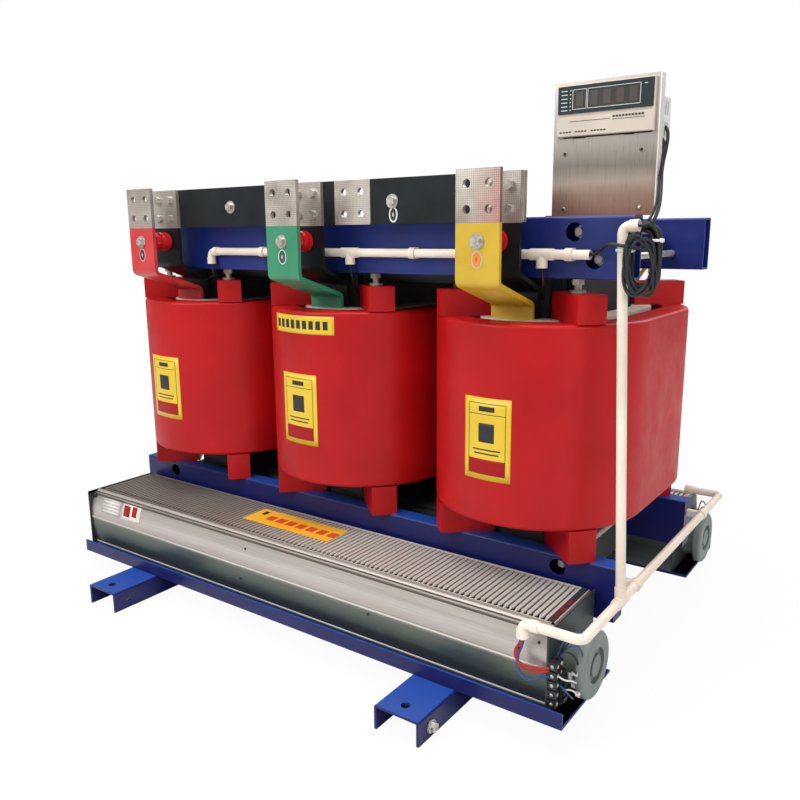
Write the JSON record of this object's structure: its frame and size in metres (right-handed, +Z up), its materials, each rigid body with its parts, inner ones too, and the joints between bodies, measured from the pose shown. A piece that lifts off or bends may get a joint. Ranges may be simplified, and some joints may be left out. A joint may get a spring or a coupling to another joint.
{
  "type": "dry type transformer",
  "caption": "Three phase cast resin dry type transformer with red coils, blue clamps, coloured low voltage bars, cross flow fans and a temperature controller.",
  "frame": {"origin": "on the floor, in the middle of the part's bounding box without the free cable", "axes": "+X along the row of coils towards the controller end, -Y towards the low voltage bars, +Z up"},
  "size_m": [1.6314, 1.348, 1.285],
  "materials": {
    "blue_paint": "satin",
    "red_resin": "satin cast epoxy resin",
    "lv_resin": "satin",
    "core_black": "matt",
    "pressboard": "matt",
    "zinc": "zinc plated",
    "bar_red": "satin paint with tinned copper pad",
    "bar_green": "satin paint with tinned copper pad",
    "bar_yellow": "satin paint with tinned copper pad",
    "bar_black": "satin paint with tinned copper pad",
    "post_red": "gloss",
    "aluminium": "brushed",
    "dark_metal": "satin",
    "grille": "satin",
    "motor_grey": "satin",
    "black_plastic": "matt",
    "stainless": "brushed",
    "white_plastic": "matt",
    "display": "gloss",
    "conduit": "matt",
    "brass": "satin",
    "sleeve_yellow": "satin",
    "cable": "matt"
  },
  "bodies": {
    "frame": {"bar_posts": "post_red", "base_bolts": "zinc", "base_channel_left": "blue_paint", "base_channel_right": "blue_paint", "bus_brackets": "blue_paint", "bus_posts": "post_red", "cable_hank": "cable", "clamp_feet": "blue_paint", "conduit_clips": "conduit", "conduit_end": "conduit", "conduit_front": "conduit", "conduit_riser": "conduit", "control_cable": "cable", "controller_bezel": "white_plastic", "controller_body": "white_plastic", "controller_display": "display", "controller_plate": "stainless", "fan_case_front": "aluminium", "fan_case_rear": "aluminium", "fan_end_plates": "dark_metal", "fan_grille_front": "grille", "fan_grille_rear": "grille", "fan_motor_front": "motor_grey", "fan_motor_rear": "motor_grey", "fan_terminal_blocks": "black_plastic", "fan_tray_front": "blue_paint", "fan_tray_rear": "blue_paint", "hv_coil_left": "red_resin", "hv_coil_middle": "red_resin", "hv_coil_right": "red_resin", "hv_leads": "sleeve_yellow", "hv_long_link": "sleeve_yellow", "hv_posts": "post_red", "hv_short_links": "sleeve_yellow", "hv_tap_links": "brass", "hv_terminals": "brass", "laminated_core": "core_black", "lower_clamp_front": "blue_paint", "lower_clamp_rear": "blue_paint", "lv_bar_green": "bar_green", "lv_bar_red": "bar_red", "lv_bar_yellow": "bar_yellow", "lv_coil_left": "lv_resin", "lv_coil_middle": "lv_resin", "lv_coil_right": "lv_resin", "neutral_bar_left": "bar_black", "neutral_bar_middle": "bar_black", "neutral_bar_right": "bar_black", "neutral_bolts": "zinc", "neutral_bus": "bar_black", "post_bolts": "zinc", "pressing_blocks": "red_resin", "pressing_bolts": "zinc", "support_blocks": "red_resin", "tie_rods": "zinc", "upper_clamp_front": "blue_paint", "upper_clamp_rear": "blue_paint", "yoke_insulation": "pressboard"},
    "front_rotor": {"fan_impeller_front": "aluminium"},
    "rear_rotor": {"fan_impeller_rear": "aluminium"}
  },
  "joints": [
    {"name": "front_fan_spin", "type": "hinge", "parent": "frame", "child": "front_rotor", "pos_m": [-0.0245, -0.408, 0.135], "axis": [1, 0, 0], "continuous": true},
    {"name": "rear_fan_spin", "type": "hinge", "parent": "frame", "child": "rear_rotor", "pos_m": [-0.0245, 0.408, 0.135], "axis": [1, 0, 0], "continuous": true}
  ]
}
